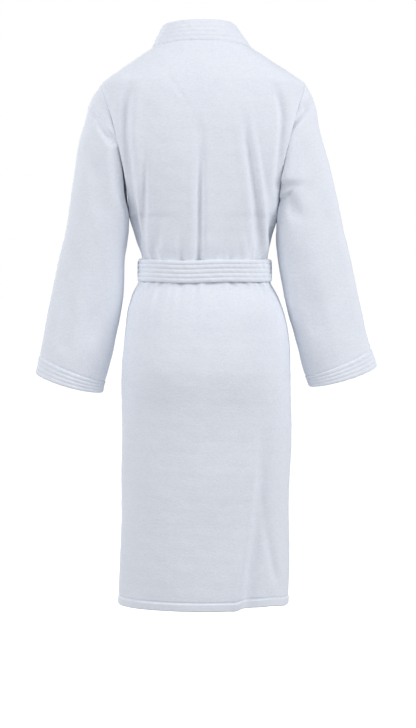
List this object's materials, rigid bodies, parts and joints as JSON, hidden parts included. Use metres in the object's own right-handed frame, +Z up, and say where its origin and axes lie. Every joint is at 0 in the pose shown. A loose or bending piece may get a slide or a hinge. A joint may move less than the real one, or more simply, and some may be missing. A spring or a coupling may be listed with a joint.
{
  "type": "bathrobe",
  "caption": "Knee-length kimono bathrobe in thick velour with a quilted collar, cuffs and tie belt, shown worn and belted.",
  "frame": {"origin": "midway between the two points where the shoulder seams meet the neck seam, where a wearer's neck or a hanger's stem passes", "axes": "+Z up, the robe's front faces -Y, the wearer's left is +X"},
  "size_m": [0.6842, 0.2536, 1.1771],
  "materials": {
    "velour": "cotton velour, short cut pile",
    "quilted_velour": "cotton velour, padded and channel stitched",
    "tape": "woven cotton tape",
    "label": "blank satin weave"
  },
  "bodies": {
    "robe": {"back_panel": "velour", "front_left": "velour", "front_right": "velour", "lapel_left": "quilted_velour", "lapel_right": "quilted_velour", "collar_back": "quilted_velour", "belt_band": "quilted_velour", "belt_knot": "quilted_velour", "belt_loop_left": "velour", "belt_loop_right": "velour", "neck_label": "label", "care_label": "label"},
    "left_arm": {"sleeve_left": "velour", "cuff_left": "quilted_velour"},
    "right_arm": {"sleeve_right": "velour", "cuff_right": "quilted_velour"},
    "left_wrap": {"skirt_left": "velour", "front_band_left": "quilted_velour", "pocket_left": "velour"},
    "right_wrap": {"skirt_right": "velour", "front_band_right": "quilted_velour", "pocket_right": "velour"},
    "left_tail": {"belt_tail_left": "quilted_velour"},
    "right_tail": {"belt_tail_right": "quilted_velour"},
    "loop": {"hanger_loop": "tape"}
  },
  "joints": [
    {"name": "left_sleeve_raise", "type": "hinge", "parent": "robe", "child": "left_arm", "pos_m": [0.2055, 0, -0.066], "axis": [0, -1, 0], "range_deg": [0, 70]},
    {"name": "right_sleeve_raise", "type": "hinge", "parent": "robe", "child": "right_arm", "pos_m": [-0.2055, 0, -0.066], "axis": [0, 1, 0], "range_deg": [0, 70]},
    {"name": "left_front_open", "type": "hinge", "parent": "robe", "child": "left_wrap", "pos_m": [0.1552, -0.0586, -0.79], "axis": [0, 0, 1], "range_deg": [0, 50], "stiffness_Nm_per_rad": 0.2},
    {"name": "right_front_open", "type": "hinge", "parent": "robe", "child": "right_wrap", "pos_m": [-0.1552, -0.0586, -0.79], "axis": [0, 0, -1], "range_deg": [0, 17.5], "stiffness_Nm_per_rad": 0.2},
    {"name": "left_tail_swing", "type": "hinge", "parent": "right_wrap", "child": "left_tail", "pos_m": [-0.065, -0.1275, -0.4705], "axis": [-1, 0, 0], "range_deg": [0, 60]},
    {"name": "right_tail_swing", "type": "hinge", "parent": "right_wrap", "child": "right_tail", "pos_m": [-0.113, -0.1275, -0.4705], "axis": [-1, 0, 0], "range_deg": [0, 60]},
    {"name": "hanger_loop_flip", "type": "hinge", "parent": "robe", "child": "loop", "pos_m": [0, 0.0447, 0.0165], "axis": [-1, 0, 0], "range_deg": [0, 150]}
  ],
  "couplings": [
    {"joint": "right_front_open", "follows": "left_front_open", "ratio": 0.35}
  ]
}
